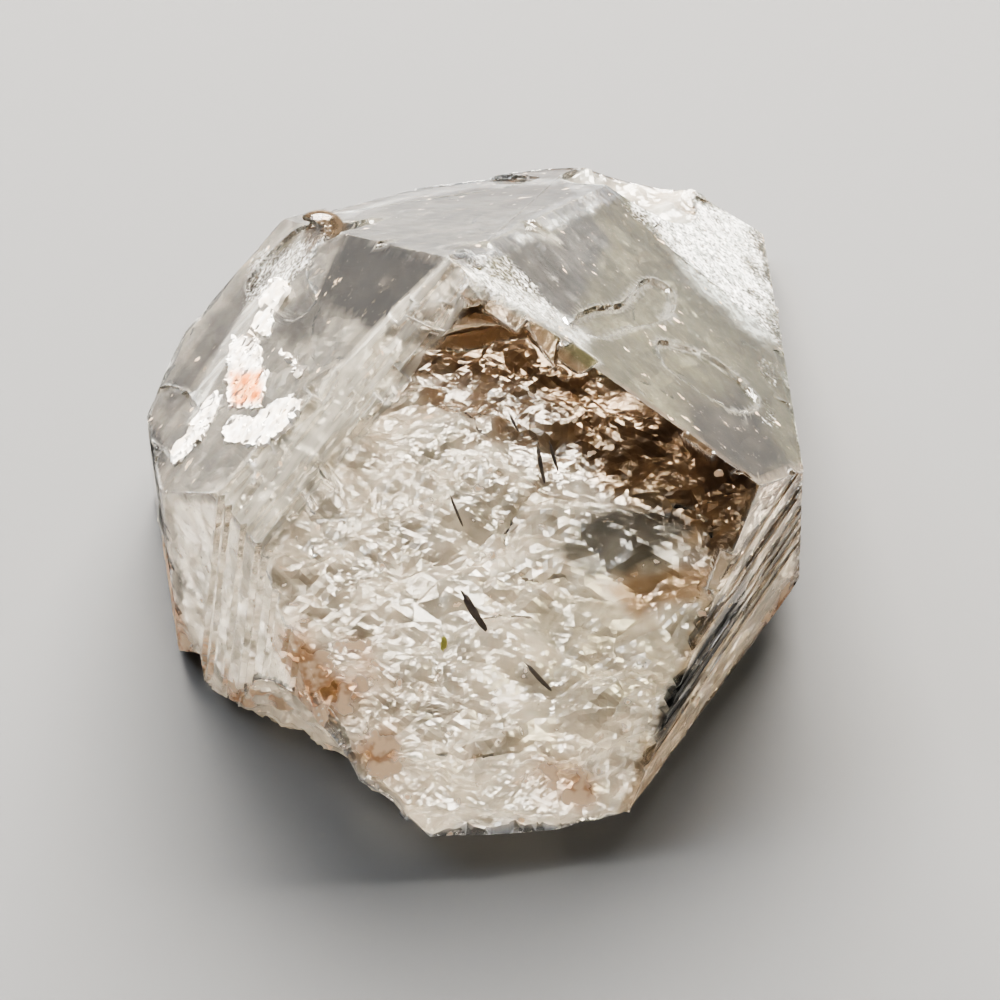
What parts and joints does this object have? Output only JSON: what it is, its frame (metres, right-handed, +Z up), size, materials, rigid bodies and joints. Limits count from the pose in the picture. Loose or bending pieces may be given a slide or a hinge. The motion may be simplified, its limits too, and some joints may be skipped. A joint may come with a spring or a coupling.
{
  "type": "quartz point",
  "caption": "Stubby natural quartz point, clear to smoky, with sloping tip faces, a short striated prism, chipped edges and a rough broken base that it rests on.",
  "frame": {"origin": "centre of the bounding box in X and Y, at the underside of the broken base that it rests on", "axes": "+Z up from the surface it rests on, +Y towards the low back edge, along the longest side, +X to the right when the broad front tip face is seen from the front"},
  "size_m": [0.0464, 0.058, 0.0393],
  "materials": {
    "clear_quartz": "clear, slightly smoky, with milky veils and rust stains"
  },
  "bodies": {
    "root": {"quartz_point": "clear_quartz"}
  },
  "joints": []
}
